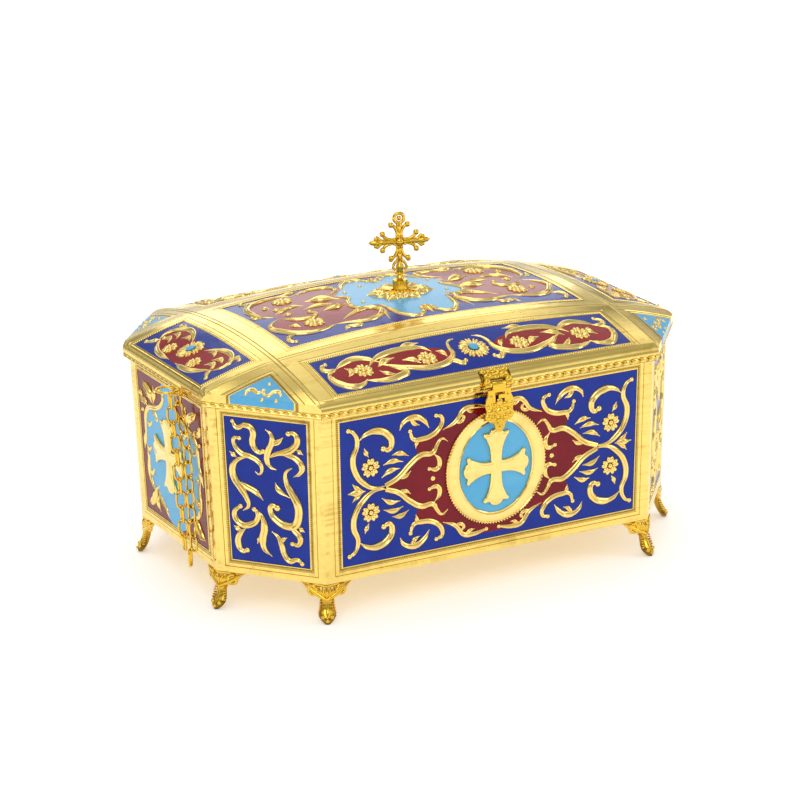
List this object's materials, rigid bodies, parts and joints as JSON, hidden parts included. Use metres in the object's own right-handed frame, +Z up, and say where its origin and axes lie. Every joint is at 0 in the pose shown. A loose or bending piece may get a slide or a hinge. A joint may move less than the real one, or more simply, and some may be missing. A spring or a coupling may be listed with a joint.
{
  "type": "reliquary casket",
  "caption": "Octagonal gilt and enamelled reliquary casket with a domed hinged lid, swinging hasp, cast feet, a cross on top and a carrying chain at one end.",
  "frame": {"origin": "on the ground under the middle of the whole object, chain and hinges included", "axes": "+Z up, +X to the right seen from the front, the hasp side faces -Y"},
  "size_m": [0.3286, 0.2334, 0.1987],
  "materials": {
    "gilt_sheet": "pale gilt, polished, with light scratches and small dark tarnish specks",
    "gilt_casting": "richer gilt on cast pieces, worn bright on high spots and dark in the hollows",
    "enamel_blue": "glossy royal blue vitreous enamel ground with gilt relief",
    "enamel_red": "glossy crimson vitreous enamel ground with gilt relief",
    "enamel_sky": "glossy sky blue vitreous enamel ground"
  },
  "bodies": {
    "casket": {"casket_body": "gilt_sheet", "laurel_band": "gilt_sheet", "panel_front": "enamel_blue", "panel_back": "enamel_blue", "panel_left_end": "enamel_red", "panel_right_end": "enamel_red", "panel_front_left": "enamel_blue", "panel_front_right": "enamel_blue", "panel_back_left": "enamel_blue", "panel_back_right": "enamel_blue", "foot_right_front": "gilt_casting", "foot_right_back": "gilt_casting", "foot_back_right": "gilt_casting", "foot_back_left": "gilt_casting", "foot_left_back": "gilt_casting", "foot_left_front": "gilt_casting", "foot_front_left": "gilt_casting", "foot_front_right": "gilt_casting", "hasp_staple": "gilt_casting", "hinge_leaf_left": "gilt_casting", "hinge_leaf_right": "gilt_casting", "chain_eye_left": "gilt_casting", "chain_eye_right": "gilt_casting", "carrying_chain": "gilt_casting"},
    "lid": {"lid_shell": "gilt_sheet", "lid_panel_top": "enamel_blue", "lid_panel_front": "enamel_blue", "lid_panel_back": "enamel_blue", "lid_panel_left_end": "enamel_blue", "lid_panel_right_end": "enamel_blue", "lid_panel_front_left": "enamel_sky", "lid_panel_front_right": "enamel_sky", "lid_panel_back_left": "enamel_sky", "lid_panel_back_right": "enamel_sky", "cross_base": "gilt_casting", "cross": "gilt_casting", "hasp_plate": "gilt_casting", "hinge_strap_left": "gilt_casting", "hinge_strap_right": "gilt_casting"},
    "hasp": {"hasp_strap": "gilt_casting"}
  },
  "joints": [
    {"name": "lid_hinge", "type": "hinge", "parent": "casket", "child": "lid", "pos_m": [0.00414, 0.1148, 0.1238], "axis": [-1, 0, 0], "range_deg": [0, 105]},
    {"name": "hasp_swing", "type": "hinge", "parent": "lid", "child": "hasp", "pos_m": [0.00514, -0.1135, 0.1243], "axis": [-1, 0, 0], "range_deg": [0, 110]}
  ]
}
